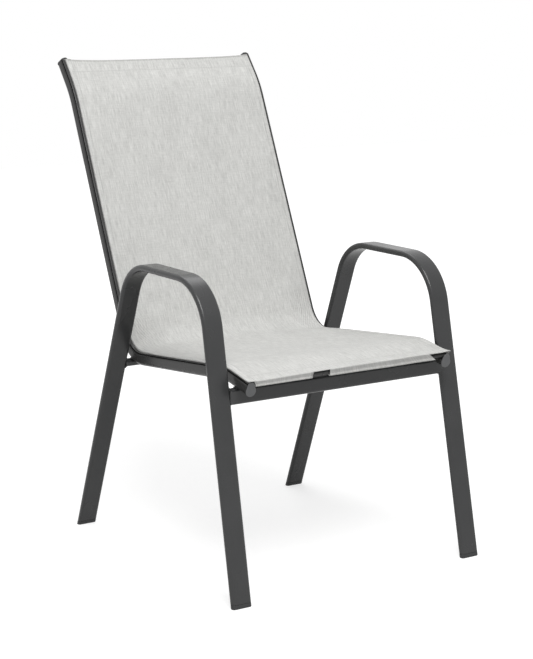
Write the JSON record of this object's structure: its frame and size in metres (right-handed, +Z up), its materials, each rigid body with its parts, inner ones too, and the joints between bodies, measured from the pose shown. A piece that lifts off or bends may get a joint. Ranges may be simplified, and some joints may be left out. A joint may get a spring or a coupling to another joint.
{
  "type": "sling patio chair",
  "caption": "Stackable garden armchair with bent flat-oval steel side frames, crossbars, channel rails and a stretched fabric sling.",
  "frame": {"origin": "on the floor, under the middle of the chair's box", "axes": "+X to the sitter's left, -Y to the front, where the sitter's feet are, +Z up"},
  "size_m": [0.5514, 0.758, 0.9519],
  "materials": {
    "frame_steel": "satin charcoal powder coat",
    "rail_steel": "satin charcoal powder coat",
    "foot_plastic": "matte dark grey moulded plastic",
    "plug_plastic": "matte grey moulded plastic",
    "rod_plastic": "smooth extruded plastic",
    "sling_fabric": "light grey woven polyester mesh with lengthwise slubs"
  },
  "bodies": {
    "root": {"side_frame_left": "frame_steel", "side_frame_right": "frame_steel", "front_crossbar": "frame_steel", "rear_crossbar": "frame_steel", "sling_rail_left": "rail_steel", "sling_rail_right": "rail_steel", "front_spreader_bar": "rail_steel", "spreader_support_bracket": "rail_steel", "top_spreader_bar": "rail_steel", "foot_plug_front_left": "foot_plastic", "foot_plug_front_right": "foot_plastic", "foot_plug_rear_left": "foot_plastic", "foot_plug_rear_right": "foot_plastic", "rail_front_plug_left": "plug_plastic", "rail_front_plug_right": "plug_plastic", "rail_top_plug_left": "plug_plastic", "rail_top_plug_right": "plug_plastic", "keder_rod_left": "rod_plastic", "keder_rod_right": "rod_plastic", "sling": "sling_fabric"}
  },
  "joints": []
}
